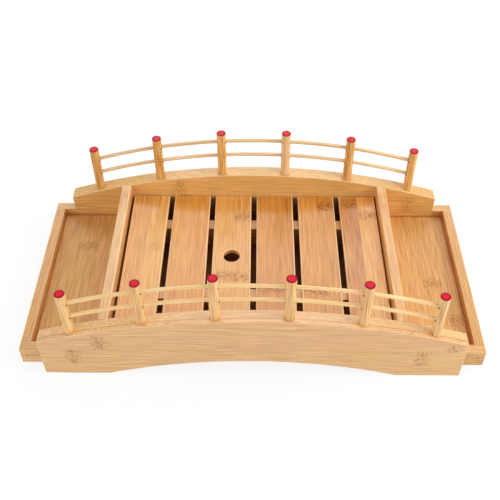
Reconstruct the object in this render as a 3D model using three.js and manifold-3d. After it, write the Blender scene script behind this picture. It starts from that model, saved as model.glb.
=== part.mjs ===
// Arched sushi bridge in bamboo. Two arched beams stand on four flat feet and hold a floor board
// between them. Rails close the floor into a tray at each end, and two partitions mark off the middle,
// where a slatted rack stands over the floor and lifts out by its finger hole. A railing of dowel posts
// and bent rods follows each beam.
// Units are millimetres. X runs along the bridge, Y across it and Z up. The origin is on the table,
// under the middle of the bridge.

import * as THREE from "three";
import { mergeVertices } from "three/addons/utils/BufferGeometryUtils.js";
import Module from "manifold-3d";

// Beams
const BEAM_LENGTH = 380;
const BEAM_THICKNESS = 14;
const BEAM_END_HEIGHT = 46;
const BEAM_CROWN_HEIGHT = 77;
const FOOT_LENGTH = 59;
const ARCH_RISE = 20.2;
const INNER_WIDTH = 175; // clear width between the two beams

// Floor and end trays
const FLOOR_UNDERSIDE = 10; // height of the floor above the table
const FLOOR_THICKNESS = 11.2;
const TRAY_OVERHANG = 20; // how far a tray reaches past the beams' ends
const RAIL_THICKNESS = 9.2;
const RAIL_HEIGHT = 19;

// Rack
const SLAT_COUNT = 6;
const SLAT_THICKNESS = 5.5;
const SLOT_WIDTH = 5.5;
const BATTEN_WIDTH = 12;
const BATTEN_HEIGHT = 22.6;
const BATTEN_SPACING = 92; // between the battens' centre lines
const BATTEN_OFFSET = 3.6; // how far behind the slats' middle the pair lies
const BATTEN_SETBACK = 6; // from the rack's end to the battens' ends
const FINGER_HOLE_DIAMETER = 16;
const FINGER_HOLE_SLAT = 3; // counted from the left
const FINGER_HOLE_OFFSET = 1.5; // how far behind the slat's middle it lies
const RACK_END_PLAY = 2; // between the rack and each partition
const RACK_SIDE_PLAY = 0.8; // between the slats' ends and each beam
const RACK_SET_OVER = 0.6; // how far to the right the loose rack lies

// Partitions
const PARTITION_THICKNESS = 9;
const PARTITION_INSET = 54.4; // from a beam's end to the partition

// Railing
const POST_COUNT = 6; // on each beam
const END_POST_INSET = 30; // from a beam's end to the first post's centre line
const POST_DIAMETER = 9;
const POST_RISE = 49.5; // above the beam's top
const POST_CHAMFER = 0.6;
const SOCKET_DEPTH = 12;
const ROD_DIAMETER = 3.6;
const ROD_ARC_RADIUS = 525;
const UPPER_ROD_RISE = 39.5; // above the beam's crown, at the middle of the bridge
const LOWER_ROD_RISE = 22.4;
const ROD_SEAT = 6; // depth of a rod's end in the end posts
const BORE_DIAMETER = 5; // drilled wide, so that a bent rod threads through a straight row of posts

// Fits and edges
const GLUE_LINE = 0.2; // between pieces that are glued face to face
const RACK_REST_GAP = 0.2; // between the loose battens and the floor that they stand on
const POST_CLEARANCE = 0.3; // all round a post in its socket, and under it
const ROD_CLEARANCE = 0.3; // over a rod that springs up against its bores, and past its ends
const EDGE_EASE = 0.7; // sanded off every board's edges

// Finishes
const BEAM_COLOUR = 0xdaaf85;
const BOARD_COLOUR = 0xd2a06e;
const SLAT_COLOUR = 0xd49e72;
const DOWEL_COLOUR = 0xdcb27a;
const ROUGHNESS = 0.55;

// Facets
const ARC_SEGMENTS = 20;
const POST_SIDES = 20;
const ROD_SIDES = 10;
const ROD_STEPS = 28;
const HOLE_SIDES = 32;

// Levels and places that follow from the sizes
const floorTop = FLOOR_UNDERSIDE + FLOOR_THICKNESS;
const halfBeam = BEAM_LENGTH / 2;
const halfInner = INNER_WIDTH / 2;
const halfLength = halfBeam + TRAY_OVERHANG;
const beamY = halfInner + BEAM_THICKNESS / 2;
const partitionX = halfBeam - PARTITION_INSET - PARTITION_THICKNESS / 2;
const rackLength = 2 * (partitionX - PARTITION_THICKNESS / 2 - RACK_END_PLAY);
const rackWidth = INNER_WIDTH - 2 * RACK_SIDE_PLAY;
const slatPitch = (rackLength + SLOT_WIDTH) / SLAT_COUNT;
const slatWidth = slatPitch - SLOT_WIDTH;
const battenBase = floorTop + RACK_REST_GAP;
const slatBase = battenBase + BATTEN_HEIGHT + GLUE_LINE;
const endPostX = halfBeam - END_POST_INSET;
const rodReach = endPostX - POST_DIAMETER / 2 + ROD_SEAT;

// Height of an arc of the given radius, with its top at crown, at a distance x from the middle.
function arcHeight(crown, radius, x) {
  return crown - radius + Math.sqrt(radius ** 2 - x ** 2);
}

// Radius of the arc that rises by rise over a half chord.
function arcRadius(halfChord, rise) {
  return (halfChord ** 2 + rise ** 2) / (2 * rise);
}

const beamTopRadius = arcRadius(halfBeam, BEAM_CROWN_HEIGHT - BEAM_END_HEIGHT);

function beamTop(x) {
  return arcHeight(BEAM_CROWN_HEIGHT, beamTopRadius, x);
}

// Joins and cuts work on closed solids with their shared corners merged.
const wasm = await Module();
wasm.setup();

function solidOf(geometry) {
  const bare = geometry.clone();
  bare.deleteAttribute("normal");
  bare.deleteAttribute("uv");
  const merged = mergeVertices(bare);
  const mesh = new wasm.Mesh({
    numProp: 3,
    vertProperties: merged.attributes.position.array,
    triVerts: new Uint32Array(merged.index.array),
  });
  return new wasm.Manifold(mesh);
}

function cut(geometry, tools) {
  let solid = solidOf(geometry);
  for (const tool of tools) {
    solid = solid.subtract(solidOf(tool));
  }
  const mesh = solid.getMesh();
  const result = new THREE.BufferGeometry();
  result.setAttribute("position", new THREE.BufferAttribute(mesh.vertProperties, 3));
  result.setIndex(new THREE.BufferAttribute(mesh.triVerts, 1));
  const faceted = result.toNonIndexed();
  faceted.computeVertexNormals();
  return faceted;
}

// A profile drawn in X and Z, extruded across the bridge and centred on Y, with its edges eased.
function acrossBridge(profile, width) {
  const geometry = new THREE.ExtrudeGeometry(profile, {
    depth: width - 2 * EDGE_EASE,
    curveSegments: ARC_SEGMENTS,
    bevelThickness: EDGE_EASE,
    bevelSize: EDGE_EASE,
    bevelOffset: -EDGE_EASE,
    bevelSegments: 1,
  });
  geometry.translate(0, 0, EDGE_EASE - width / 2);
  geometry.rotateX(Math.PI / 2);
  return geometry;
}

// A rectangular board, centred on X and Y with its underside at Z = 0.
function board(sizeX, sizeY, sizeZ) {
  const edge = sizeX / 2;
  const profile = new THREE.Shape();
  profile.moveTo(EDGE_EASE - edge, 0);
  profile.lineTo(edge - EDGE_EASE, 0);
  profile.lineTo(edge, EDGE_EASE);
  profile.lineTo(edge, sizeZ - EDGE_EASE);
  profile.lineTo(edge - EDGE_EASE, sizeZ);
  profile.lineTo(EDGE_EASE - edge, sizeZ);
  profile.lineTo(-edge, sizeZ - EDGE_EASE);
  profile.lineTo(-edge, EDGE_EASE);
  profile.closePath();
  return acrossBridge(profile, sizeY);
}

// A round bar standing on Z = 0.
function upright(radius, height, sides) {
  const geometry = new THREE.CylinderGeometry(radius, radius, height, sides);
  geometry.rotateX(Math.PI / 2);
  geometry.translate(0, 0, height / 2);
  return geometry;
}

// The beam's outline: two flat feet, the arch between them, upright ends and the arched top.
function beamOutline() {
  const halfArch = halfBeam - FOOT_LENGTH;
  const archRadius = arcRadius(halfArch, ARCH_RISE);
  const archTurn = Math.asin(halfArch / archRadius);
  const topTurn = Math.asin(halfBeam / beamTopRadius);
  const zenith = Math.PI / 2;
  const outline = new THREE.Shape();
  outline.moveTo(-halfBeam, 0);
  outline.lineTo(-halfArch, 0);
  outline.absarc(0, ARCH_RISE - archRadius, archRadius, zenith + archTurn, zenith - archTurn, true);
  outline.lineTo(halfBeam, 0);
  outline.lineTo(halfBeam, BEAM_END_HEIGHT);
  outline.absarc(0, BEAM_CROWN_HEIGHT - beamTopRadius, beamTopRadius, zenith - topTurn, zenith + topTurn);
  outline.closePath();
  return outline;
}

// Places of the posts along a beam, from the left.
const postPlaces = Array.from({ length: POST_COUNT }, (_, i) => {
  return ((2 * i) / (POST_COUNT - 1) - 1) * endPostX;
});

// A beam with a socket bored straight down for each post.
function beam() {
  const sockets = postPlaces.map((x) => {
    const socketFloor = beamTop(x) - SOCKET_DEPTH - POST_CLEARANCE;
    const socket = upright(POST_DIAMETER / 2 + POST_CLEARANCE, POST_RISE, POST_SIDES);
    return socket.translate(x, 0, socketFloor);
  });
  return cut(acrossBridge(beamOutline(), BEAM_THICKNESS), sockets);
}

// The curve that a rod is bent to, in the plane of its railing.
class RodArc extends THREE.Curve {
  constructor(crown, reach) {
    super();
    this.crown = crown;
    this.reach = reach;
  }

  getPoint(t, target = new THREE.Vector3()) {
    const turn = Math.asin(this.reach / ROD_ARC_RADIUS) * (2 * t - 1);
    const drop = ROD_ARC_RADIUS * (1 - Math.cos(turn));
    return target.set(ROD_ARC_RADIUS * Math.sin(turn), 0, this.crown - drop);
  }
}

// A round bar bent to a rod's arc.
function bentBar(diameter, rise, reach) {
  const section = new THREE.Shape();
  section.absarc(0, 0, diameter / 2, 0, 2 * Math.PI);
  return new THREE.ExtrudeGeometry(section, {
    steps: ROD_STEPS,
    curveSegments: ROD_SIDES / 2,
    extrudePath: new RodArc(BEAM_CROWN_HEIGHT + rise, reach),
  });
}

function rod(rise) {
  return bentBar(ROD_DIAMETER, rise, rodReach);
}

// The way of a rod through the posts. The rod lies high in it.
function bore(rise) {
  const drop = (BORE_DIAMETER - ROD_DIAMETER) / 2 - ROD_CLEARANCE;
  return bentBar(BORE_DIAMETER, rise - drop, rodReach + ROD_CLEARANCE);
}

// A dowel post with a chamfered top, bored where the two rods pass or end.
function post(x) {
  const radius = POST_DIAMETER / 2;
  const height = SOCKET_DEPTH + POST_RISE;
  const profile = [
    new THREE.Vector2(0, 0),
    new THREE.Vector2(radius, 0),
    new THREE.Vector2(radius, height - POST_CHAMFER),
    new THREE.Vector2(radius - POST_CHAMFER, height),
    new THREE.Vector2(0, height),
  ];
  const dowel = new THREE.LatheGeometry(profile, POST_SIDES);
  dowel.rotateX(Math.PI / 2);
  const foot = beamTop(x) - SOCKET_DEPTH;
  const bores = [UPPER_ROD_RISE, LOWER_ROD_RISE].map((rise) => bore(rise).translate(-x, 0, -foot));
  return cut(dowel, bores);
}

// A piece of bamboo under its own name and finish.
function piece(name, geometry, colour) {
  const finish = new THREE.MeshStandardMaterial({ color: colour, roughness: ROUGHNESS, metalness: 0 });
  const mesh = new THREE.Mesh(geometry, finish);
  mesh.name = name;
  return mesh;
}

const bridge = new THREE.Group();

// Each side has a beam with its railing, at the same distance from the middle.
for (const [side, sign] of [["front", -1], ["rear", 1]]) {
  const flank = new THREE.Group();
  flank.position.y = sign * beamY;
  flank.add(piece(`${side}_beam`, beam(), BEAM_COLOUR));
  postPlaces.forEach((x, i) => {
    const dowel = piece(`${side}_post_${i + 1}`, post(x), DOWEL_COLOUR);
    dowel.position.set(x, 0, beamTop(x) - SOCKET_DEPTH);
    flank.add(dowel);
  });
  flank.add(piece(`${side}_upper_rod`, rod(UPPER_ROD_RISE), DOWEL_COLOUR));
  flank.add(piece(`${side}_lower_rod`, rod(LOWER_ROD_RISE), DOWEL_COLOUR));
  bridge.add(flank);
}

// The floor lies between the beams and between the two end rails, flush with the rails' undersides.
const floorLength = 2 * (halfLength - RAIL_THICKNESS - GLUE_LINE);
const gluedWidth = INNER_WIDTH - 2 * GLUE_LINE;
const floorBoard = piece("floor_board", board(floorLength, gluedWidth, FLOOR_THICKNESS), BOARD_COLOUR);
floorBoard.position.z = FLOOR_UNDERSIDE;
bridge.add(floorBoard);

// At each end a rail closes the tray, a partition closes the middle, and two side rails run from the
// beams' ends over the ends of the end rail.
const sideRailLength = TRAY_OVERHANG - GLUE_LINE;
const partitionHeight = beamTop(partitionX) - floorTop - GLUE_LINE;
for (const [end, sign] of [["left", -1], ["right", 1]]) {
  const endRail = piece(`${end}_end_rail`, board(RAIL_THICKNESS, gluedWidth, RAIL_HEIGHT), BOARD_COLOUR);
  endRail.position.set(sign * (halfLength - RAIL_THICKNESS / 2), 0, FLOOR_UNDERSIDE);
  bridge.add(endRail);
  const partition = piece(
    `${end}_partition`,
    board(PARTITION_THICKNESS, gluedWidth, partitionHeight),
    BOARD_COLOUR,
  );
  partition.position.set(sign * partitionX, 0, floorTop + GLUE_LINE);
  bridge.add(partition);
  for (const [side, across] of [["front", -1], ["rear", 1]]) {
    const sideRail = piece(
      `${side}_${end}_side_rail`,
      board(sideRailLength, RAIL_THICKNESS, RAIL_HEIGHT),
      BOARD_COLOUR,
    );
    sideRail.position.set(
      sign * (halfLength - sideRailLength / 2),
      across * (halfInner + RAIL_THICKNESS / 2),
      FLOOR_UNDERSIDE,
    );
    bridge.add(sideRail);
  }
}

// The rack: slats side by side on two battens that stand on the floor.
const rack = new THREE.Group();
rack.position.x = RACK_SET_OVER;
for (let i = 0; i < SLAT_COUNT; i++) {
  let slat = board(slatWidth, rackWidth, SLAT_THICKNESS);
  if (i + 1 === FINGER_HOLE_SLAT) {
    const hole = upright(FINGER_HOLE_DIAMETER / 2, 3 * SLAT_THICKNESS, HOLE_SIDES);
    slat = cut(slat, [hole.translate(0, FINGER_HOLE_OFFSET, -SLAT_THICKNESS)]);
  }
  const mesh = piece(`slat_${i + 1}`, slat, SLAT_COLOUR);
  mesh.position.set(i * slatPitch + (slatWidth - rackLength) / 2, 0, slatBase);
  rack.add(mesh);
}
for (const [side, sign] of [["front", -1], ["rear", 1]]) {
  const batten = piece(
    `${side}_batten`,
    board(rackLength - 2 * BATTEN_SETBACK, BATTEN_WIDTH, BATTEN_HEIGHT),
    SLAT_COLOUR,
  );
  batten.position.set(0, BATTEN_OFFSET + (sign * BATTEN_SPACING) / 2, battenBase);
  rack.add(batten);
}
bridge.add(rack);

export default bridge;
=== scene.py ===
import math

import bmesh
import bpy
from mathutils import Euler, Matrix, Vector


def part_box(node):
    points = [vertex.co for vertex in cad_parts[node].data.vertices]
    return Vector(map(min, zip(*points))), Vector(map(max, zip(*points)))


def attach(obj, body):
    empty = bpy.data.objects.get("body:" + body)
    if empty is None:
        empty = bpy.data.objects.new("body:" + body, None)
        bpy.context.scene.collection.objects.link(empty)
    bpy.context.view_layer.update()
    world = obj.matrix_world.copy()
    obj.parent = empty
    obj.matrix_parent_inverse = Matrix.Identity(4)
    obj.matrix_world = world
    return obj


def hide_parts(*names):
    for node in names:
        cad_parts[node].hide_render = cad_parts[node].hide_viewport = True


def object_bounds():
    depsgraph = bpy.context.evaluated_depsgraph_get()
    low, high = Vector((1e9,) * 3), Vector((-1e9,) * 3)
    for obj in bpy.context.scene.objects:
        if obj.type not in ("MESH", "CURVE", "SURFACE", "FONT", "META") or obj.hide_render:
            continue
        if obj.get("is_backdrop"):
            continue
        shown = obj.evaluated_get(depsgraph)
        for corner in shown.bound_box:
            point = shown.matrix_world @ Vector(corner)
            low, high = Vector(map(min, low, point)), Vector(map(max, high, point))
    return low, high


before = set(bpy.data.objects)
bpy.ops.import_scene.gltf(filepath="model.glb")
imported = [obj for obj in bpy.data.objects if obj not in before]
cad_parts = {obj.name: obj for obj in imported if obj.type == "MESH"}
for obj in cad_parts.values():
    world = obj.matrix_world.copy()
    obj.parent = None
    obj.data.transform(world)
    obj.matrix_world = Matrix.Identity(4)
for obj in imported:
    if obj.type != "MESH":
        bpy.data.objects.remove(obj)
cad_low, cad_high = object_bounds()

# The two arched beams carry everything. Each is sawn from thick bamboo board with the fibres along its
# length, and is sanded with eased edges. Sockets for the railing's posts are drilled straight down into
# the arched top.
X, Y, Z = Vector((1, 0, 0)), Vector((0, 1, 0)), Vector((0, 0, 1))
x_axis, y_axis, z_axis = range(3)
beam_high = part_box("front_beam")[1]
half_beam = beam_high.x
beam_crown = beam_high.z
beam_end_height = 0.046
foot_length = 0.059
arch_rise = 0.0202
top_steps = 80
arch_steps = 48
socket_radius = 0.00465
socket_depth = 0.0122
socket_sides = 40
drill_overshoot = 0.01
post_count = 6
post_pitch = 0.064
post_places = [post_pitch * (i - (post_count - 1) / 2) for i in range(post_count)]


def arc_radius(half_chord, rise):
    return (half_chord**2 + rise**2) / (2 * rise)


beam_top_radius = arc_radius(half_beam, beam_crown - beam_end_height)


def beam_top(x):
    return beam_crown - beam_top_radius + math.sqrt(beam_top_radius**2 - x**2)


# One corner swept along an arc over the middle of the bridge, as the edge of a sawn outline.
def sawn_arc(shape, half_chord, foot, crown, y, steps):
    radius = arc_radius(half_chord, crown - foot)
    start = shape.verts.new((-half_chord, y, foot))
    swept = bmesh.ops.spin(
        shape,
        geom=[start],
        cent=(0, y, crown - radius),
        axis=Y,
        angle=2 * math.asin(half_chord / radius),
        steps=steps,
    )
    return start, swept["geom_last"][0]


def beam_shape(low, high):
    shape = bmesh.new()
    top_left, top_right = sawn_arc(shape, half_beam, beam_end_height, beam_crown, low.y, top_steps)
    arch_left, arch_right = sawn_arc(shape, half_beam - foot_length, 0, arch_rise, low.y, arch_steps)
    heel_left = shape.verts.new((-half_beam, low.y, 0))
    heel_right = shape.verts.new((half_beam, low.y, 0))
    shape.edges.new((top_right, heel_right))
    shape.edges.new((heel_right, arch_right))
    shape.edges.new((arch_left, heel_left))
    shape.edges.new((heel_left, top_left))
    side = bmesh.ops.contextual_create(shape, geom=shape.edges[:])["faces"]
    thick = bmesh.ops.extrude_face_region(shape, geom=side)["geom"]
    corners = [part for part in thick if isinstance(part, bmesh.types.BMVert)]
    bmesh.ops.translate(shape, verts=corners, vec=(0, high.y - low.y, 0))
    bmesh.ops.recalc_face_normals(shape, faces=shape.faces[:])
    return shape


# A round bar from one point to another, for a drill or a dowel.
def round_bar(shape, start, end, radius, sides):
    way = end - start
    turn = Z.rotation_difference(way).to_matrix().to_4x4()
    bmesh.ops.create_cone(
        shape,
        cap_ends=True,
        segments=sides,
        radius1=radius,
        radius2=radius,
        depth=way.length,
        matrix=Matrix.Translation((start + end) / 2) @ turn,
    )


def loose_object(shape, name):
    mesh = bpy.data.meshes.new(name)
    shape.to_mesh(mesh)
    shape.free()
    thing = bpy.data.objects.new(name, mesh)
    bpy.context.scene.collection.objects.link(thing)
    return thing


# The shape with the drills' holes taken out of it.
same_point = 1e-7


def drilled(shape, drills):
    block = loose_object(shape, "block")
    drill = loose_object(drills, "drill")
    hole = block.modifiers.new("holes", "BOOLEAN")
    hole.operation = "DIFFERENCE"
    hole.solver = "EXACT"
    hole.object = drill
    made = bpy.data.meshes.new_from_object(block.evaluated_get(bpy.context.evaluated_depsgraph_get()))
    result = bmesh.new()
    result.from_mesh(made)
    bmesh.ops.remove_doubles(result, verts=result.verts[:], dist=same_point)
    for thing in (block, drill):
        bpy.data.objects.remove(thing)
    bpy.data.meshes.remove(made)
    return result


# An edge is sanded where two faces meet sharply, and is found by the plane that it lies in.
sharp_angle = 0.6
touching = 1e-6


def is_sharp(edge):
    return edge.calc_face_angle(0) > sharp_angle


def lies_at(edge, axis, level):
    return all(abs(corner.co[axis] - level) < touching for corner in edge.verts)


# Sanding rounds the chosen edges and marks the rounded faces with how much paler they are drawn: partly wear
# from sanding, partly a painted highlight along the edge.
eased_edge = 0.0007
eased_steps = 3
sanded_and_highlight_share = 0.3


def sanded(shape, edges, size=eased_edge, steps=eased_steps, pale_and_highlight=sanded_and_highlight_share):
    eased = shape.faces.layers.float.new("eased")
    rounded = bmesh.ops.bevel(
        shape,
        geom=edges,
        offset=size,
        offset_type="OFFSET",
        affect="EDGES",
        segments=steps,
        profile=0.5,
        material=-1,
        clamp_overlap=True,
    )["faces"]
    for face in rounded:
        face[eased] = pale_and_highlight
    return shape


# A finished piece rides on a body, shades smooth over its eased edges and may stand for a node of the model.
crease_angle = math.radians(50)


def fitted(shape, name, body, finish, node=None):
    piece = loose_object(shape, name)
    piece.data.shade_smooth()
    piece.data.set_sharp_from_angle(angle=crease_angle)
    piece.data.materials.append(finish)
    flats = piece.modifiers.new("flat faces", "WEIGHTED_NORMAL")
    flats.keep_sharp = True
    flats.weight = 100
    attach(piece, body)
    if node:
        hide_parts(node)


# Shader nodes are placed by short calls: a socket or a plain value goes to each named input.
def placed(tree, kind, inputs, **settings):
    made = tree.nodes.new("ShaderNode" + kind)
    for name, value in settings.items():
        setattr(made, name, value)
    for socket, value in inputs.items():
        if isinstance(value, bpy.types.NodeSocket):
            tree.links.new(value, made.inputs[socket])
        else:
            made.inputs[socket].default_value = value
    return made


def reckoned(tree, operation, *values):
    return placed(tree, "Math", dict(enumerate(values)), operation=operation).outputs[0]


def ramped(tree, value, low, high, low_out=0.0, high_out=1.0):
    inputs = {"Value": value, 1: low, 2: high, 3: low_out, 4: high_out}
    return placed(tree, "MapRange", inputs, interpolation_type="SMOOTHSTEP").outputs[0]


# Falls from one to nothing as the value rises.
def faded(tree, value, low, high):
    return ramped(tree, value, low, high, low_out=1.0, high_out=0.0)


# Two colours laid over each other by a share, which is a plain number or changes over the surface.
def blended(tree, share, first, second, kind="MIX"):
    colours = [part if isinstance(part, bpy.types.NodeSocket) else (*part, 1.0) for part in (first, second)]
    settings = {"data_type": "RGBA", "blend_type": kind, "clamp_factor": False, "clamp_result": True}
    return placed(tree, "Mix", {0: share, 6: colours[0], 7: colours[1]}, **settings).outputs[2]


# Noise drawn out along the fibres: so many millimetres long and so many wide.
fibre_roughness = 0.6


def fibres(tree, place, length, width, detail):
    stretch = (1 / length, 1 / width, 1 / width)
    drawn = placed(tree, "VectorMath", {0: place, 1: stretch}, operation="MULTIPLY").outputs[0]
    inputs = {"Vector": drawn, "Scale": 1.0, "Detail": detail, "Roughness": fibre_roughness}
    return placed(tree, "TexNoise", inputs).outputs["Fac"]


# Bamboo board, in millimetres: x along the fibres, y across the strips that the board is glued up from
# and z through its plies. Each strip has a tone of its own and fine fibres, and a few have a knuckle.
knuckle_count = 4
bamboo = bpy.data.node_groups.new("bamboo", "ShaderNodeTree")
for socket_name, socket_kind in (
    ("Place", "Vector"),
    ("Along", "Vector"),
    ("Strip Width", "Float"),
    ("Ply", "Float"),
    ("Seed", "Float"),
    ("Pale", "Color"),
    ("Deep", "Color"),
    ("Strip Contrast", "Float"),
    ("Fibre Contrast", "Float"),
    ("Knuckle Depth", "Float"),
    *((f"Knuckle {number + 1}", "Vector") for number in range(knuckle_count)),
):
    bamboo.interface.new_socket(socket_name, in_out="INPUT", socket_type="NodeSocket" + socket_kind)
for socket_name, socket_kind in (("Colour", "Color"), ("Roughness", "Float"), ("Height", "Float")):
    bamboo.interface.new_socket(socket_name, in_out="OUTPUT", socket_type="NodeSocket" + socket_kind)

ply_stagger = 0.91
given = bamboo.nodes.new("NodeGroupInput").outputs
at = placed(bamboo, "SeparateXYZ", {0: given["Place"]}).outputs
ply_count = reckoned(bamboo, "DIVIDE", at["Z"], given["Ply"])
ply_number = reckoned(bamboo, "FLOOR", ply_count)
strip_share = reckoned(bamboo, "DIVIDE", at["Y"], given["Strip Width"])
strip_count = reckoned(bamboo, "MULTIPLY_ADD", ply_number, ply_stagger, strip_share)
strip_number = reckoned(bamboo, "FLOOR", strip_count)
strip_key = placed(bamboo, "CombineXYZ", {0: strip_number, 1: ply_number, 2: given["Seed"]}).outputs[0]
strip_chance = placed(bamboo, "TexWhiteNoise", {"Vector": strip_key}, noise_dimensions="3D").outputs
strip_tint = placed(bamboo, "SeparateColor", {0: strip_chance["Color"]}).outputs


# Glue shows as a fine line between strips and as a wider one between plies.
def seam_distance(count, width):
    return reckoned(bamboo, "MULTIPLY", reckoned(bamboo, "PINGPONG", count, 0.5), width)


strip_side = seam_distance(strip_count, given["Strip Width"])
ply_side = seam_distance(ply_count, given["Ply"])
strip_seam = ramped(bamboo, strip_side, 0.05, 0.35, low_out=0.25, high_out=0.0)
ply_seam = ramped(bamboo, ply_side, 0.1, 0.9, low_out=0.75, high_out=0.0)
seam = reckoned(bamboo, "MAXIMUM", strip_seam, ply_seam)


# How far along the fibres the nearest knuckle of the cane lies. A knuckle is given by its place along and
# across and half its width, and ends at the edges of its strip.
strip_edge_slope = 40.0
knuckle_core, knuckle_reach = 2.5, 9.5


def knuckle_distance(knuckle):
    middle = placed(bamboo, "SeparateXYZ", {0: knuckle}).outputs
    along = reckoned(bamboo, "ABSOLUTE", reckoned(bamboo, "SUBTRACT", at["X"], middle["X"]))
    across = reckoned(bamboo, "ABSOLUTE", reckoned(bamboo, "SUBTRACT", at["Y"], middle["Y"]))
    outside = reckoned(bamboo, "MAXIMUM", reckoned(bamboo, "SUBTRACT", across, middle["Z"]), 0.0)
    return reckoned(bamboo, "MULTIPLY_ADD", outside, strip_edge_slope, along)


away = knuckle_distance(given["Knuckle 1"])
for number in range(1, knuckle_count):
    away = reckoned(bamboo, "MINIMUM", away, knuckle_distance(given[f"Knuckle {number + 1}"]))
knuckle = faded(bamboo, away, knuckle_core, knuckle_reach)

# Every strip is cut from another cane, and round a knuckle its fibres swerve.
cane_shift = (900.0, 90.0, 90.0)
swerve_reach = 5.0
mid_tone = 0.5


def centred(value):
    return reckoned(bamboo, "SUBTRACT", value, mid_tone)


def swing(value, amount):
    return reckoned(bamboo, "MULTIPLY", centred(value), amount)


# The place moved across the strips and through the plies alike.
def moved_across(place, amount):
    sideways = placed(bamboo, "CombineXYZ", {0: 0.0, 1: amount, 2: amount}).outputs[0]
    return placed(bamboo, "VectorMath", {0: place, 1: sideways}, operation="ADD").outputs[0]


strip_shift = placed(
    bamboo, "VectorMath", {0: strip_chance["Color"], 1: cane_shift}, operation="MULTIPLY"
).outputs[0]
own_place = placed(bamboo, "VectorMath", {0: given["Place"], 1: strip_shift}, operation="ADD").outputs[0]
swirl = centred(fibres(bamboo, own_place, length=3.0, width=3.4, detail=1.0))
swerve = reckoned(bamboo, "MULTIPLY", reckoned(bamboo, "MULTIPLY", swirl, knuckle), swerve_reach)
bent_place = moved_across(own_place, swerve)

broad = fibres(bamboo, own_place, length=150.0, width=11.0, detail=1.0)
drift = fibres(bamboo, bent_place, length=60.0, width=3.0, detail=2.0)
coarse = fibres(bamboo, bent_place, length=55.0, width=1.1, detail=1.0)
fine = fibres(bamboo, bent_place, length=26.0, width=0.7, detail=0.0)
pores = ramped(bamboo, fibres(bamboo, bent_place, length=12.0, width=0.45, detail=0.0), 0.60, 0.72)

coarse_swing = 1.4
fine_swing = 2.6
broad_swing = 0.4
thin_tone = reckoned(bamboo, "ADD", swing(fine, fine_swing), swing(broad, broad_swing))
fibre_tone = reckoned(bamboo, "ADD", swing(coarse, coarse_swing), thin_tone)
strip_swing = centred(strip_tint["Red"])
strip_tone = reckoned(bamboo, "MULTIPLY_ADD", strip_swing, given["Strip Contrast"], mid_tone)
tone = reckoned(bamboo, "MULTIPLY_ADD", fibre_tone, given["Fibre Contrast"], strip_tone)
colour = blended(bamboo, tone, given["Deep"], given["Pale"])

# Golden and pinkish fibres lie side by side, with darker pores and glue lines among them.
golden_hue = (1.0, 0.99, 0.87)
pinkish_hue = (1.0, 0.95, 0.98)
pore_shade = (0.76, 0.62, 0.5)
pore_share = 0.3
glue_shade = (0.66, 0.52, 0.40)
fibre_warmth = ramped(bamboo, drift, 0.3, 0.7)
warmth_swing = centred(strip_tint["Green"])
warmth = reckoned(bamboo, "MULTIPLY_ADD", warmth_swing, given["Strip Contrast"], fibre_warmth)
hue = blended(bamboo, warmth, golden_hue, pinkish_hue)
colour = blended(bamboo, 1.0, colour, hue, "MULTIPLY")
colour = blended(bamboo, reckoned(bamboo, "MULTIPLY", pores, pore_share), colour, pore_shade, "MULTIPLY")
colour = blended(bamboo, seam, colour, glue_shade, "MULTIPLY")

# A knuckle has a broken dark line across its strip. Short dark strokes with pale ones between them lean
# away from it to both sides.
lean_reach = 12.0
lean_slope = 1.5
line_raggedness = 9.0
pale_between = (1.06, 1.06, 1.06)
dull_between = (0.94, 0.88, 0.82)
stroke_shade = (0.46, 0.33, 0.20)
lean = reckoned(bamboo, "MULTIPLY", reckoned(bamboo, "MINIMUM", away, lean_reach), lean_slope)
strokes = fibres(bamboo, moved_across(own_place, lean), length=12.0, width=2.3, detail=0.0)
tears = fibres(bamboo, own_place, length=5.0, width=1.8, detail=1.0)
ragged = reckoned(bamboo, "MULTIPLY_ADD", tears, line_raggedness, away)
line = ramped(bamboo, ragged, 3.8, 5.6, low_out=0.8, high_out=0.0)
leaning = reckoned(bamboo, "MULTIPLY", ramped(bamboo, strokes, 0.50, 0.60), knuckle)
dark = reckoned(bamboo, "MAXIMUM", line, leaning)
dark_share = reckoned(bamboo, "MULTIPLY", dark, given["Knuckle Depth"])
band_share = reckoned(bamboo, "MULTIPLY", knuckle, given["Knuckle Depth"])
between = blended(bamboo, ramped(bamboo, strokes, 0.36, 0.50), pale_between, dull_between)
colour = blended(bamboo, band_share, colour, between, "MULTIPLY")
colour = blended(bamboo, dark_share, colour, stroke_shade, "MULTIPLY")

# Sawn ends show the fibres as dots and look darker. Sanded edges are drawn paler, partly as sanding wear and
# partly as a painted highlight.
sawn_shade = (0.72, 0.60, 0.48)
sanded_and_highlight_colour = (0.98, 0.72, 0.42)
facing = placed(bamboo, "TexCoord", {}).outputs["Normal"]
end_on = placed(
    bamboo, "VectorMath", {0: facing, 1: given["Along"]}, operation="DOT_PRODUCT"
).outputs["Value"]
sawn_end = ramped(bamboo, reckoned(bamboo, "ABSOLUTE", end_on), 0.8, 0.97)
cut_fibres = fibres(bamboo, given["Place"], length=30.0, width=0.8, detail=1.0)
dots = ramped(bamboo, cut_fibres, 0.45, 0.65, low_out=0.25, high_out=0.75)
colour = blended(bamboo, reckoned(bamboo, "MULTIPLY", sawn_end, dots), colour, sawn_shade, "MULTIPLY")
eased = placed(bamboo, "Attribute", {}, attribute_name="eased").outputs["Fac"]
# Painted highlight, with some sanding wear: the eased faces are drawn paler.
colour = blended(bamboo, eased, colour, sanded_and_highlight_colour)

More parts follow.
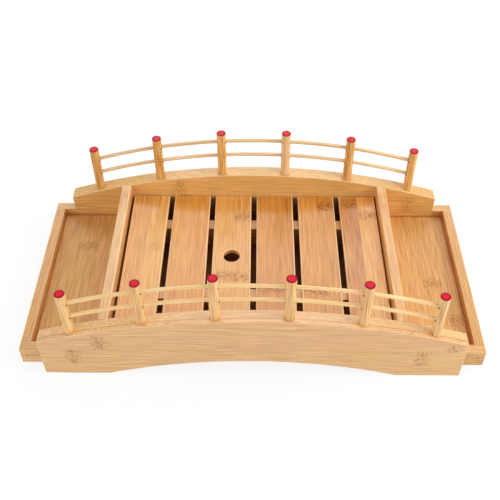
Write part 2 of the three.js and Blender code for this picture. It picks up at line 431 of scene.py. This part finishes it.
plain_dullness = 0.18
knuckle_dullness = 0.28
fibre_dullness = 0.14
fine_relief = 0.6
coarse_relief = 0.4
seam_relief = 0.6
pore_relief = 0.25
result = bamboo.nodes.new("NodeGroupOutput").inputs
bamboo.links.new(colour, result["Colour"])
smooth = ramped(bamboo, knuckle, 0.0, 1.0, low_out=plain_dullness, high_out=knuckle_dullness)
bamboo.links.new(reckoned(bamboo, "MULTIPLY_ADD", coarse, fibre_dullness, smooth), result["Roughness"])
relief = reckoned(bamboo, "MULTIPLY", coarse, coarse_relief)
relief = reckoned(bamboo, "MULTIPLY_ADD", fine, fine_relief, relief)
relief = reckoned(bamboo, "SUBTRACT", relief, reckoned(bamboo, "MULTIPLY", seam, seam_relief))
relief = reckoned(bamboo, "SUBTRACT", relief, reckoned(bamboo, "MULTIPLY", pores, pore_relief))
bamboo.links.new(relief, result["Height"])

# A bamboo finish laid on one piece: the corner that its strips count from, the way of its fibres and
# strips, the strips' width and ply in millimetres, its range of colour and its knuckles.
mm_per_metre = 1000
nowhere = (9999.0, 0.0, 0.0)
lacquer_shine = 0.6
relief_strength = 0.25
relief_height = 0.0003


def bamboo_finish(
    name, corner, along, across, strip, ply, seed, pale, deep, strips=0.5, fibre=1.0, depth=0.7, knuckles=()
):
    finish = bpy.data.materials.new(name)
    finish.use_nodes = True
    tree = finish.node_tree
    surface = tree.nodes["Principled BSDF"]
    mapping = {
        "Vector": placed(tree, "TexCoord", {}).outputs["Object"],
        "Location": corner,
        "Rotation": Matrix((along, across, along.cross(across))).transposed().to_euler(),
        "Scale": (1 / mm_per_metre,) * 3,
    }
    inputs = {
        "Place": placed(tree, "Mapping", mapping, vector_type="TEXTURE").outputs[0],
        "Along": along,
        "Strip Width": strip,
        "Ply": ply,
        "Seed": seed,
        "Pale": (*pale, 1.0),
        "Deep": (*deep, 1.0),
        "Strip Contrast": strips,
        "Fibre Contrast": fibre,
        "Knuckle Depth": depth,
    }
    for number in range(knuckle_count):
        inputs[f"Knuckle {number + 1}"] = knuckles[number] if number < len(knuckles) else nowhere
    grain = placed(tree, "Group", inputs, node_tree=bamboo, name="grain")
    tree.links.new(grain.outputs["Colour"], surface.inputs["Base Color"])
    tree.links.new(grain.outputs["Roughness"], surface.inputs["Roughness"])
    surface.inputs["Specular IOR Level"].default_value = lacquer_shine
    bumps = {"Height": grain.outputs["Height"], "Strength": relief_strength, "Distance": relief_height}
    tree.links.new(placed(tree, "Bump", bumps).outputs[0], surface.inputs["Normal"])
    return finish


beam_strip = 21.0
beam_ply_start = 0.003
beam_lowest_seams = {"front": 0.01314, "rear": 0.00624}
beam_bamboo = {
    "front": dict(
        ply=12.33,
        seed=97616.0,
        pale=(0.90, 0.57, 0.265),
        deep=(0.70, 0.395, 0.16),
        depth=0.6,
        knuckles=((-135.8, 33.36, 10.5), (-160.7, 12.36, 10.5), (151.5, 12.36, 10.5), (177.0, 27.86, 5.5)),
    ),
    "rear": dict(
        ply=30.0,
        seed=2335.0,
        pale=(0.86, 0.54, 0.21),
        deep=(0.69, 0.40, 0.125),
        depth=0.5,
        knuckles=((-75.0, 52.5, 10.5), (162.0, 31.5, 10.5)),
    ),
}
for side, look in beam_bamboo.items():
    node = f"{side}_beam"
    low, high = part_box(node)
    middle = (low.y + high.y) / 2
    drills = bmesh.new()
    for x in post_places:
        mouth = Vector((x, middle, beam_top(x)))
        round_bar(drills, mouth - socket_depth * Z, mouth + drill_overshoot * Z, socket_radius, socket_sides)
    shape = drilled(beam_shape(low, high), drills)
    outer_planes = ((y_axis, low.y), (y_axis, high.y), (x_axis, -half_beam), (x_axis, half_beam))
    edges = [
        edge
        for edge in shape.edges
        if is_sharp(edge) and any(lies_at(edge, axis, level) for axis, level in outer_planes)
    ]
    finish = bamboo_finish(
        f"bamboo {side} beam",
        (0, high.y + beam_ply_start, beam_lowest_seams[side]),
        X,
        Z,
        beam_strip,
        strips=0.9,
        fibre=0.8,
        **look,
    )
    fitted(sanded(shape, edges), f"{side}_arched_beam", "bridge", finish, node)

# The floor board lies between the beams and makes the bottom of both trays and of the middle. It is
# glued up from wide strips that run across the bridge, and glued to the beams along its edges.
glue_line = 0.0002
board_faces = {
    "left": (0, x_axis),
    "right": (1, x_axis),
    "front": (0, y_axis),
    "rear": (1, y_axis),
    "under": (0, z_axis),
    "top": (1, z_axis),
}


# A sawn board fills its node's box, and takes up the glue line at each glued face.
def glued_box(node, glued, taken_up=glue_line):
    box = [corner.copy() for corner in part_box(node)]
    for word in glued.split():
        end, axis = board_faces[word]
        box[end][axis] += taken_up if end else -taken_up
    return box


def board_shape(node, glued="", taken_up=glue_line):
    low, high = glued_box(node, glued, taken_up)
    shape = bmesh.new()
    size = Matrix.Diagonal((*(high - low), 1))
    bmesh.ops.create_cube(shape, size=1, matrix=Matrix.Translation((low + high) / 2) @ size)
    return shape


# The edges that sanding can reach: none that lies on a glued face.
def free_edges(shape, node, glued="", taken_up=glue_line):
    box = glued_box(node, glued, taken_up)
    closed = [(axis, box[end][axis]) for end, axis in (board_faces[word] for word in glued.split())]
    return [
        edge
        for edge in shape.edges
        if is_sharp(edge) and not any(lies_at(edge, axis, level) for axis, level in closed)
    ]


one_ply = 40.0
ply_margin = 0.01
floor_strip = 20.0
floor_seed = 8238.0
floor_pale = (0.79, 0.45, 0.155)
floor_deep = (0.59, 0.285, 0.082)
low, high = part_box("floor_board")
finish = bamboo_finish(
    "bamboo floor",
    (low.x, 0, low.z - ply_margin),
    Y,
    -X,
    floor_strip,
    one_ply,
    floor_seed,
    floor_pale,
    floor_deep,
    fibre=0.95,
    depth=0.55,
    knuckles=((40.8, -30.6, 10.0), (-7.4, -377.0, 9.0), (-54.5, -392.7, 6.0)),
)

# The floor is duller than the rest. Under the rack, where the ice lies, it has no lacquer and is duller
# still, and its colour there is darkened as painted shade. A thin band along the rails and the beams is
# darkened as painted shade in the corners.
floor_shine = 0.45
floor_dullness = 0.2
bare_dullness = 0.3
under_rack_half = 0.126
under_rack_fade = 0.006
under_rack_painted_shade = (0.50, 0.34, 0.22)
corner_reach = 0.003
painted_corner_shade = (0.62, 0.43, 0.25)
tree = finish.node_tree
surface = tree.nodes["Principled BSDF"]
grain = tree.nodes["grain"].outputs
spot = placed(tree, "SeparateXYZ", {0: placed(tree, "TexCoord", {}).outputs["Object"]}).outputs
from_middle = reckoned(tree, "ABSOLUTE", spot["X"])
# Painted shade under the rack: this share darkens the colour there, and also makes the floor duller.
under_rack = faded(tree, from_middle, under_rack_half - under_rack_fade, under_rack_half)
floor_colour = blended(tree, under_rack, grain["Colour"], under_rack_painted_shade, "MULTIPLY")
# Painted shade in the corners: a thin band along the rails and the beams is drawn darker.
from_rail = reckoned(tree, "SUBTRACT", high.x, from_middle)
from_beam = reckoned(tree, "SUBTRACT", high.y, reckoned(tree, "ABSOLUTE", spot["Y"]))
painted_corner_share = faded(tree, reckoned(tree, "MINIMUM", from_rail, from_beam), 0.0, corner_reach)
floor_colour = blended(tree, painted_corner_share, floor_colour, painted_corner_shade, "MULTIPLY")
tree.links.new(floor_colour, surface.inputs["Base Color"])
dull = reckoned(tree, "ADD", grain["Roughness"], floor_dullness)
tree.links.new(reckoned(tree, "MULTIPLY_ADD", under_rack, bare_dullness, dull), surface.inputs["Roughness"])
surface.inputs["Specular IOR Level"].default_value = floor_shine

floor_eased = 0.00015
small_steps = 2
shape = board_shape("floor_board", "left right front rear")
sanded(shape, free_edges(shape, "floor_board"), floor_eased, small_steps)
fitted(shape, "tray_floor", "bridge", finish, "floor_board")

# Rails close the two trays. An end rail runs across the bridge at each end, and a short side rail covers
# each of its ends and butts against the beam. A brad through the side rail holds the corner.
rail_strip = 19.0
rail_strip_start = 0.009
rail_fibre = 1.05
rail_colours = {
    "left": ((0.80, 0.445, 0.145), (0.63, 0.32, 0.09)),
    "right": ((0.73, 0.38, 0.09), (0.57, 0.27, 0.055)),
}
side_rail_strip = 19.2
side_rail_strip_start = 0.0028
side_rail_eased = 0.0004
shortest_sanded = 0.002
side_rail_colours = {
    "left": ((0.87, 0.54, 0.21), (0.68, 0.385, 0.13)),
    "right": ((0.78, 0.45, 0.155), (0.61, 0.32, 0.095)),
}
brad_inset = 0.006
brad_height = 0.0208
brad_hole_radius = 0.0009
brad_hole_depth = 0.0012
brad_drill_overshoot = 0.002
brad_radius = 0.0007
brad_length = 0.0012
brad_stand = 0.0003
brad_sides = 16
brad_eased = 0.00015

brad_steel = bpy.data.materials.new("brad steel")
brad_steel.use_nodes = True
steel_stains_per_metre = 2500.0
dark_steel = (0.16, 0.12, 0.09)
pale_steel = (0.34, 0.31, 0.28)
steel = brad_steel.node_tree
steel_surface = steel.nodes["Principled BSDF"]
steel_surface.inputs["Metallic"].default_value = 1.0
steel_place = placed(steel, "TexCoord", {}).outputs["Object"]
steel_noise = {"Vector": steel_place, "Scale": steel_stains_per_metre, "Detail": 2.0}
steel_stain = placed(steel, "TexNoise", steel_noise).outputs["Fac"]
steel.links.new(blended(steel, steel_stain, dark_steel, pale_steel), steel_surface.inputs["Base Color"])
steel_dullness = ramped(steel, steel_stain, 0.2, 0.8, low_out=0.35, high_out=0.6)
steel.links.new(steel_dullness, steel_surface.inputs["Roughness"])

for end, sign, inward_end, rail_seed, side_seeds in (
    ("left", -1, "right", 802.0, (1880.0, 6987.0)),
    ("right", 1, "left", 6295.0, (7921.0, 8770.0)),
):
    node = f"{end}_end_rail"
    low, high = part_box(node)
    shape = board_shape(node, "front rear")
    finish = bamboo_finish(
        f"bamboo {end} end rail",
        (low.x - ply_margin, low.y, low.z - rail_strip_start),
        Y,
        Z,
        rail_strip,
        one_ply,
        rail_seed,
        *rail_colours[end],
        fibre=rail_fibre,
    )
    edges = free_edges(shape, node, "front rear")
    fitted(sanded(shape, edges), f"{end}_tray_rail", "bridge", finish, node)
    for side, across, seed in (("front", -1, side_seeds[0]), ("rear", 1, side_seeds[1])):
        node = f"{side}_{end}_side_rail"
        low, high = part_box(node)
        outer = low.y if across < 0 else high.y
        centre = Vector((sign * (cad_high.x - brad_inset), outer, brad_height))
        inward = Vector((0, -across, 0))
        outside = centre - brad_drill_overshoot * inward
        drills = bmesh.new()
        round_bar(drills, outside, centre + brad_hole_depth * inward, brad_hole_radius, brad_sides)
        shape = drilled(board_shape(node, inward_end), drills)
        edges = [edge for edge in free_edges(shape, node, inward_end) if edge.calc_length() > shortest_sanded]
        finish = bamboo_finish(
            f"bamboo {side} {end} side rail",
            (0, high.y + ply_margin, side_rail_strip_start),
            X,
            Z,
            side_rail_strip,
            one_ply,
            seed,
            *side_rail_colours[end],
            strips=0.8,
            fibre=rail_fibre,
        )
        sanded(shape, edges, side_rail_eased)
        fitted(shape, f"{side}_{end}_tray_side", "bridge", finish, node)
        brad = bmesh.new()
        head = centre + (brad_hole_depth - brad_stand) * inward
        round_bar(brad, head, head + brad_length * inward, brad_radius, brad_sides)
        sanded(brad, [edge for edge in brad.edges if is_sharp(edge)], brad_eased, small_steps)
        fitted(brad, f"{side}_{end}_brad", "bridge", brad_steel)

# Two partitions stand on the floor across the bridge and part the middle from the trays. They are boards
# of the same bamboo with the fibres across the bridge, glued between the beams up to the beams' tops.
partition_glue = 0.0006
partition_strip = 20.0
partition_strip_start = 0.048
partition_fibre = 1.05
partition_eased = 0.001
# The last number is how pale the sanded edges are drawn, as wear and as a painted highlight; the left
# partition's painted highlight is stronger.
for end, seed, pale, deep, partition_sanded_and_highlight in (
    ("left", 5399.0, (0.87, 0.53, 0.23), (0.70, 0.39, 0.15), 0.65),
    ("right", 1174.0, (0.86, 0.47, 0.165), (0.68, 0.345, 0.11), 0.3),
):
    node = f"{end}_partition"
    low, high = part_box(node)
    shape = board_shape(node, "front rear under", partition_glue)
    finish = bamboo_finish(
        f"bamboo {end} partition",
        (low.x - ply_margin, low.y, high.z - partition_strip_start),
        Y,
        Z,
        partition_strip,
        one_ply,
        seed,
        pale,
        deep,
        fibre=partition_fibre,
    )
    edges = free_edges(shape, node, "front rear under", partition_glue)
    sanded(shape, edges, partition_eased, pale_and_highlight=partition_sanded_and_highlight)
    fitted(shape, f"{end}_cross_partition", "bridge", finish, node)

# Two thin rods run along each railing. They are split bamboo turned round, bent to the arch and threaded
# through the posts, and they end in blind holes in the end posts.
rod_radius = 0.0018
rod_sides = 16
rod_steps = 72
rod_arc_radius = 0.525
rod_reach = 0.1615
rod_rises = {"upper": 0.0395, "lower": 0.0224}
rod_seed_step = 100
one_cane = 60.0
cane_middle = one_cane / 2


def rod_height(rise, x):
    return beam_crown + rise - rod_arc_radius + math.sqrt(rod_arc_radius**2 - x**2)


# A round bar bent along the railing, with its fibres' place kept for the finish, inside one strip.
def bent_rod(rise, y):
    shape = bmesh.new()
    half_turn = math.asin(rod_reach / rod_arc_radius)
    centre = Vector((0, y, beam_crown + rise - rod_arc_radius))
    facing = Euler((0, math.pi / 2 - half_turn, 0)).to_matrix().to_4x4()
    start = Matrix.Translation(centre + Matrix.Rotation(-half_turn, 3, Y) @ (rod_arc_radius * Z))
    bmesh.ops.create_circle(shape, segments=rod_sides, radius=rod_radius, matrix=start @ facing)
    outline = shape.verts[:] + shape.edges[:]
    bmesh.ops.spin(shape, geom=outline, cent=centre, axis=Y, angle=2 * half_turn, steps=rod_steps)
    bmesh.ops.holes_fill(shape, edges=[edge for edge in shape.edges if edge.is_boundary])
    bmesh.ops.recalc_face_normals(shape, faces=shape.faces[:])
    grain_place = shape.verts.layers.float_vector.new("grain")
    for corner in shape.verts:
        spoke = corner.co - centre
        turn = math.atan2(spoke.x, spoke.z)
        depth = math.hypot(spoke.x, spoke.z) - rod_arc_radius
        corner[grain_place] = (
            mm_per_metre * rod_arc_radius * turn,
            mm_per_metre * spoke.y + cane_middle,
            mm_per_metre * depth + cane_middle,
        )
    return shape


for side, seed, pale, deep in (
    ("front", 50.0, (1.0, 0.75, 0.37), (0.96, 0.60, 0.24)),
    ("rear", 56.0, (0.90, 0.68, 0.40), (0.74, 0.50, 0.26)),
):
    low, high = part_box(f"{side}_beam")
    for level, rise in rod_rises.items():
        node = f"{side}_{level}_rod"
        rod_seed = seed + rod_seed_step * rise
        finish = bamboo_finish(
            f"bamboo {side} {level} rod", (0, 0, 0), X, Y, one_cane, one_cane, rod_seed, pale, deep
        )
        tree = finish.node_tree
        kept = placed(tree, "Attribute", {}, attribute_name="grain").outputs["Vector"]
        tree.links.new(kept, tree.nodes["grain"].inputs["Place"])
        shape = bent_rod(rise, (low.y + high.y) / 2)
        fitted(shape, f"{side}_{level}_railing_rod", "bridge", finish, node)

# Six dowel posts stand in each beam. They are turned bamboo with a rounded top edge, bored for the two
# rods, and their tops are dipped in red paint.
post_radius = 0.0045
post_sides = 48
post_round = 0.0006
post_round_steps = 4
cap_ring = 0.0014
bore_radius = 0.0027
bore_sides = 24
bore_drop = 0.0006
bore_reach = 0.008
blind_clearance = 0.0003
post_seed = 70.0
pale_post = "rear_post_4"
front_bamboo = dict(pale=(0.94, 0.63, 0.31), deep=(0.76, 0.45, 0.185), fibre=1.3, shine=0.12)
rear_bamboo = dict(pale=(0.86, 0.55, 0.215), deep=(0.60, 0.30, 0.077), fibre=1.2, shine=0.2)
pale_bamboo = dict(pale=(0.94, 0.70, 0.40), deep=(0.80, 0.54, 0.27), fibre=1.0, shine=0.2)

# Bamboo with red paint over the top, darker towards the rim.
paint_reach = 0.8
paint_waver = 0.5
paint_edge = 0.05
paint_dullness = 0.1
dabs_per_metre = 420.0
thin_red = (0.74, 0.006, 0.024)
full_red = (0.88, 0.014, 0.046)
rim_red = (0.40, 0.001, 0.016)
rim_waver = 1.4
rim_start, rim_end = 3.0, 4.2


def painted_post(name, seed, pale, deep, fibre, shine):
    finish = bamboo_finish(
        name, (0, 0, 0), Z, X, one_cane, one_cane, seed, pale, deep, strips=0.4, fibre=fibre
    )
    tree = finish.node_tree
    surface = tree.nodes["Principled BSDF"]
    grain = tree.nodes["grain"].outputs
    below_top = placed(tree, "Attribute", {}, attribute_name="below_top").outputs["Fac"]
    from_axis = placed(tree, "Attribute", {}, attribute_name="from_axis").outputs["Fac"]
    spot = placed(tree, "TexCoord", {}).outputs["Object"]
    dab = placed(tree, "TexNoise", {"Vector": spot, "Scale": dabs_per_metre, "Detail": 3.0}).outputs["Fac"]
    reach = reckoned(tree, "MULTIPLY_ADD", dab, paint_waver, paint_reach - paint_waver / 2)
    painted = faded(tree, reckoned(tree, "SUBTRACT", below_top, reach), -paint_edge, paint_edge)
    red = blended(tree, ramped(tree, dab, 0.3, 0.7), thin_red, full_red)
    rim = reckoned(tree, "MULTIPLY_ADD", dab, rim_waver, from_axis)
    red = blended(tree, ramped(tree, rim, rim_start, rim_end), red, rim_red)
    tree.links.new(blended(tree, painted, grain["Colour"], red), surface.inputs["Base Color"])
    dull = reckoned(tree, "MULTIPLY_ADD", painted, paint_dullness, grain["Roughness"])
    tree.links.new(dull, surface.inputs["Roughness"])
    surface.inputs["Specular IOR Level"].default_value = shine
    return finish


for side, cane in (("front", front_bamboo), ("rear", rear_bamboo)):
    for number, x in enumerate(post_places, 1):
        node = f"{side}_post_{number}"
        low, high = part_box(node)
        y = (low.y + high.y) / 2
        shape = bmesh.new()
        round_bar(shape, Vector((x, y, low.z)), Vector((x, y, high.z)), post_radius, post_sides)
        rim = [edge for edge in shape.edges if lies_at(edge, z_axis, high.z)]
        sanded(shape, rim, post_round, post_round_steps, pale_and_highlight=0.0)
        cap = max(shape.faces, key=lambda face: face.calc_center_median().z)
        bmesh.ops.inset_individual(shape, faces=[cap], thickness=cap_ring)
        drills = bmesh.new()
        for rise in rod_rises.values():
            left = max(x - bore_reach, -rod_reach - blind_clearance)
            right = min(x + bore_reach, rod_reach + blind_clearance)
            start = Vector((left, y, rod_height(rise, left) - bore_drop))
            end = Vector((right, y, rod_height(rise, right) - bore_drop))
            round_bar(drills, start, end, bore_radius, bore_sides)
        shape = drilled(shape, drills)
        depth = shape.verts.layers.float.new("below_top")
        spread = shape.verts.layers.float.new("from_axis")
        for corner in shape.verts:
            corner[depth] = mm_per_metre * (high.z - corner.co.z)
            corner[spread] = mm_per_metre * math.hypot(corner.co.x - x, corner.co.y - y)
        look = pale_bamboo if node == pale_post else cane
        finish = painted_post(f"bamboo {side} post {number}", post_seed + number, **look)
        fitted(shape, f"{side}_dowel_post_{number}", "bridge", finish, node)

# The rack is six bamboo slats laid side by side with slots between them. Each slat is two strips wide,
# and one has a hole for a fingertip that lifts the rack out.
holed_slat = 3
finger_hole_radius = 0.008
finger_hole_offset = 0.0015
finger_hole_sides = 64
slat_strip = 18.5
slat_eased = 0.0009
# The slats' sanded edges are drawn pale, partly as wear and partly as a painted highlight.
slat_sanded_and_highlight = 0.85
slat_bamboo = {
    1: dict(
        seed=904.0,
        pale=(0.88, 0.47, 0.12),
        deep=(0.67, 0.31, 0.058),
        strips=0.4,
        depth=0.4,
        knuckles=((13.1, -28.5, 6.0),),
    ),
    2: dict(
        seed=898.0,
        pale=(0.82, 0.38, 0.075),
        deep=(0.62, 0.25, 0.032),
        strips=0.4,
        depth=0.3,
    ),
    3: dict(
        seed=640.0,
        pale=(0.86, 0.45, 0.12),
        deep=(0.66, 0.31, 0.07),
        strips=0.4,
        depth=0.8,
        knuckles=((54.6, -28.5, 8.5), (-25.5, -20.0, 17.0)),
    ),
    4: dict(
        seed=3366.0,
        pale=(0.73, 0.32, 0.056),
        deep=(0.54, 0.20, 0.026),
        strips=0.4,
        depth=0.9,
        knuckles=((-40.0, -18.5, 17.0),),
    ),
    5: dict(
        seed=465.0,
        pale=(0.75, 0.34, 0.060),
        deep=(0.55, 0.22, 0.026),
        strips=0.4,
        depth=1.1,
        knuckles=((71.5, -29.0, 9.0), (-42.0, -14.0, 12.0)),
    ),
    6: dict(
        seed=834.0,
        pale=(0.91, 0.46, 0.115),
        deep=(0.67, 0.29, 0.062),
        strips=1.6,
        depth=0.9,
        knuckles=((58.0, -28.0, 8.5), (75.0, -10.0, 8.0)),
    ),
}
for number, look in slat_bamboo.items():
    node = f"slat_{number}"
    low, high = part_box(node)
    shape = board_shape(node)
    if number == holed_slat:
        middle = Vector(((low.x + high.x) / 2, finger_hole_offset, 0))
        under, over = middle + (low.z - drill_overshoot) * Z, middle + (high.z + drill_overshoot) * Z
        drills = bmesh.new()
        round_bar(drills, under, over, finger_hole_radius, finger_hole_sides)
        shape = drilled(shape, drills)
    corner = (low.x, 0, low.z - ply_margin)
    finish = bamboo_finish(f"bamboo slat {number}", corner, Y, -X, slat_strip, one_ply, **look)
    sanded(shape, free_edges(shape, node), slat_eased, pale_and_highlight=slat_sanded_and_highlight)
    fitted(shape, f"rack_slat_{number}", "rack", finish, node)

# Two battens on edge hold the slats together and stand on the floor, so that the rack keeps a space for
# ice under it. They are glued under the slats.
batten_strip = 40.0
batten_pale = (0.962, 0.588, 0.187)
batten_deep = (0.728, 0.406, 0.111)
for side, seed in (("front", 91.0), ("rear", 93.0)):
    node = f"{side}_batten"
    low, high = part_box(node)
    shape = board_shape(node, "top")
    finish = bamboo_finish(
        f"bamboo {side} batten",
        (0, high.y + ply_margin, low.z - ply_margin),
        X,
        Z,
        batten_strip,
        one_ply,
        seed,
        batten_pale,
        batten_deep,
    )
    edges = free_edges(shape, node, "top")
    fitted(sanded(shape, edges), f"rack_{side}_batten", "rack", finish, node)

# The bridge stands on a plain white floor that fades into a white surround. A wide soft lamp behind it lays
# a sheen on everything that faces up, and lamps to the right, left and front fill in.
studio_radius = 6
studio_sides = 64
studio_paint = (0.88, 0.88, 0.88, 1.0)
plain_white = (1.0, 1.0, 1.0, 1.0)
studio_glow = 1.08
shadow_share = 0.22
sky_light = 0.31
lamp_aim = Vector((0, 0, 0.04))
floor_shape = bmesh.new()
bmesh.ops.create_circle(floor_shape, cap_ends=True, segments=studio_sides, radius=studio_radius)
floor = loose_object(floor_shape, "studio_floor")
floor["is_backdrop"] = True
floor_finish = bpy.data.materials.new("studio floor")
floor_finish.use_nodes = True
surround = bpy.data.worlds.new("studio surround")
surround.use_nodes = True
bpy.context.scene.world = surround


# What the eye sees of the studio, straight on or mirrored, is apart from what lights the bridge.
def looked_at(tree):
    seen = placed(tree, "LightPath", {}).outputs
    mirrored = reckoned(tree, "MAXIMUM", seen["Is Glossy Ray"], seen["Is Transmission Ray"])
    return reckoned(tree, "MAXIMUM", seen["Is Camera Ray"], mirrored)


tree = floor_finish.node_tree
tree.nodes.remove(tree.nodes["Principled BSDF"])
matt = placed(tree, "BsdfDiffuse", {"Color": studio_paint}).outputs[0]
glow = placed(tree, "Emission", {"Color": plain_white, "Strength": studio_glow}).outputs[0]
white = placed(tree, "MixShader", {0: shadow_share, 1: glow, 2: matt}).outputs[0]
ground = placed(tree, "MixShader", {0: looked_at(tree), 1: matt, 2: white}).outputs[0]
tree.links.new(ground, tree.nodes["Material Output"].inputs["Surface"])
floor.data.materials.append(floor_finish)

tree = surround.node_tree
sky = tree.nodes["Background"]
sky.inputs["Color"].default_value = plain_white
sky_strength = reckoned(tree, "MULTIPLY_ADD", looked_at(tree), 1 - sky_light, sky_light)
tree.links.new(sky_strength, sky.inputs["Strength"])

for lamp_name, place, width, height, power in (
    ("rear lamp", Vector((0.075, 1.07, 1.19)), 1.45, 1.0, 9.3),
    ("high right lamp", Vector((1.1, 0, 1.15)), 0.9, 0.9, 6.2),
    ("right lamp", Vector((1.5, -0.5, 0.6)), 0.9, 0.7, 15.2),
    ("left lamp", Vector((-1.5, -0.5, 0.6)), 0.9, 0.7, 6.1),
    ("front left lamp", Vector((-1.1, -1.3, 0.7)), 0.9, 0.7, 5.8),
):
    lamp = bpy.data.lights.new(lamp_name, "AREA")
    lamp.shape = "RECTANGLE"
    lamp.size = width
    lamp.size_y = height
    lamp.energy = power
    hung = bpy.data.objects.new(lamp_name, lamp)
    bpy.context.scene.collection.objects.link(hung)
    hung.location = place
    hung.rotation_mode = "QUATERNION"
    hung.rotation_quaternion = (lamp_aim - place).to_track_quat("-Z", "Y")

# The camera looks down on the bridge from the front, as far off as the photograph's perspective asks.
camera_place = (0.00348, -0.49704, 0.58306)
camera_pan = math.radians(0.723)
camera_tilt = math.radians(43.49)
camera_roll = math.radians(-0.165)
lens = bpy.data.cameras.new("camera")
lens.sensor_width = 36
lens.lens = 54.39
camera = bpy.data.objects.new("camera", lens)
bpy.context.scene.collection.objects.link(camera)
camera.matrix_world = (
    Matrix.Translation(camera_place)
    @ Matrix.Rotation(camera_pan, 4, Z)
    @ Matrix.Rotation(camera_tilt, 4, X)
    @ Matrix.Rotation(camera_roll, 4, Z)
)
bpy.context.scene.camera = camera
bpy.context.scene.view_settings.view_transform = "Standard"

low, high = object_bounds()
